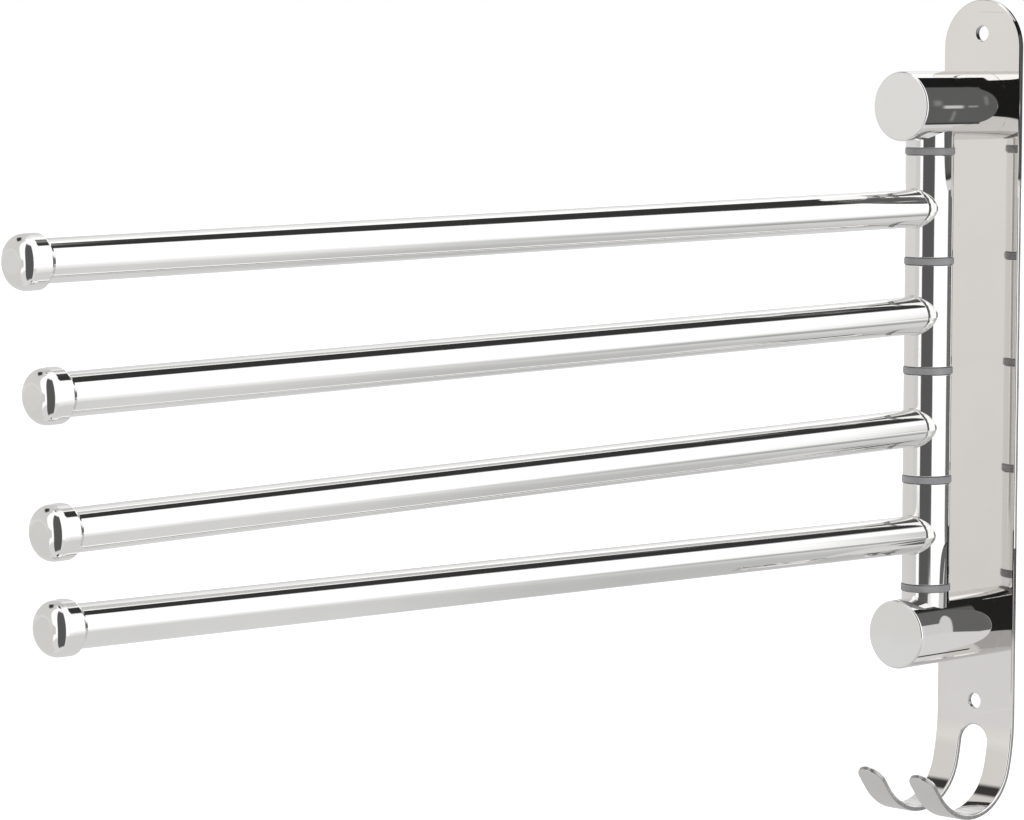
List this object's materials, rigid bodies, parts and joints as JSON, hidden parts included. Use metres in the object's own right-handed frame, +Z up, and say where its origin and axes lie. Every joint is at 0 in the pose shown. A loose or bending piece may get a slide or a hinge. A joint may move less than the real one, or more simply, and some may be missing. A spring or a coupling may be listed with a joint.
{
  "type": "swing arm towel bar",
  "caption": "Wall-mounted swing arm towel rail: long tube arms with round end caps swivel about a vertical column held by short posts on a narrow wall plate that ends in bent coat hooks.",
  "frame": {"origin": "on the wall plane (the back of the wall plate), half way between the two wall screws", "axes": "+Z up along the wall plate; +Y into the wall; the arms stand out from the wall towards -Y; +X to the right for somebody who faces the wall"},
  "size_m": [0.0391, 0.3829, 0.2633],
  "materials": {
    "mirror_steel": "mirror-polished stainless steel",
    "weld_steel": "buffed weld bead",
    "plain_steel": "turned steel, hidden",
    "dark_screw_steel": "dark socket set screw",
    "grey_washer": "matte grey nylon",
    "bush_plastic": "white acetal"
  },
  "bodies": {
    "wall_frame": {"wall_plate": "mirror_steel", "upper_post_boss": "plain_steel", "upper_post_tube": "mirror_steel", "upper_post_face": "mirror_steel", "upper_post_set_screw": "dark_screw_steel", "upper_column_stub": "mirror_steel", "lower_post_boss": "plain_steel", "lower_post_tube": "mirror_steel", "lower_post_face": "mirror_steel", "lower_post_set_screw": "dark_screw_steel", "lower_column_stub": "mirror_steel", "pivot_rod": "plain_steel", "saddle_washers": "plain_steel", "rod_nuts": "plain_steel", "washer_1": "grey_washer", "washer_2": "grey_washer", "washer_3": "grey_washer", "washer_4": "grey_washer", "washer_5": "grey_washer"},
    "arm_1": {"sleeve_1": "mirror_steel", "sleeve_bush_1_upper": "bush_plastic", "sleeve_bush_1_lower": "bush_plastic", "arm_tube_1": "mirror_steel", "weld_bead_1": "weld_steel", "end_cap_1": "mirror_steel"},
    "arm_2": {"sleeve_2": "mirror_steel", "sleeve_bush_2_upper": "bush_plastic", "sleeve_bush_2_lower": "bush_plastic", "arm_tube_2": "mirror_steel", "weld_bead_2": "weld_steel", "end_cap_2": "mirror_steel"},
    "arm_3": {"sleeve_3": "mirror_steel", "sleeve_bush_3_upper": "bush_plastic", "sleeve_bush_3_lower": "bush_plastic", "arm_tube_3": "mirror_steel", "weld_bead_3": "weld_steel", "end_cap_3": "mirror_steel"},
    "arm_4": {"sleeve_4": "mirror_steel", "sleeve_bush_4_upper": "bush_plastic", "sleeve_bush_4_lower": "bush_plastic", "arm_tube_4": "mirror_steel", "weld_bead_4": "weld_steel", "end_cap_4": "mirror_steel"}
  },
  "joints": [
    {"name": "arm_1_swing", "type": "hinge", "parent": "wall_frame", "child": "arm_1", "pos_m": [0, -0.0274, 0.05335], "axis": [0, 0, 1], "range_deg": [-87.41, 92.59]},
    {"name": "arm_2_swing", "type": "hinge", "parent": "wall_frame", "child": "arm_2", "pos_m": [0, -0.0274, 0.01925], "axis": [0, 0, 1], "range_deg": [-88.83, 91.17]},
    {"name": "arm_3_swing", "type": "hinge", "parent": "wall_frame", "child": "arm_3", "pos_m": [0, -0.0274, -0.01685], "axis": [0, 0, 1], "range_deg": [-89.22, 90.78]},
    {"name": "arm_4_swing", "type": "hinge", "parent": "wall_frame", "child": "arm_4", "pos_m": [0, -0.0274, -0.0514], "axis": [0, 0, 1], "range_deg": [-89.43, 90.57]}
  ]
}
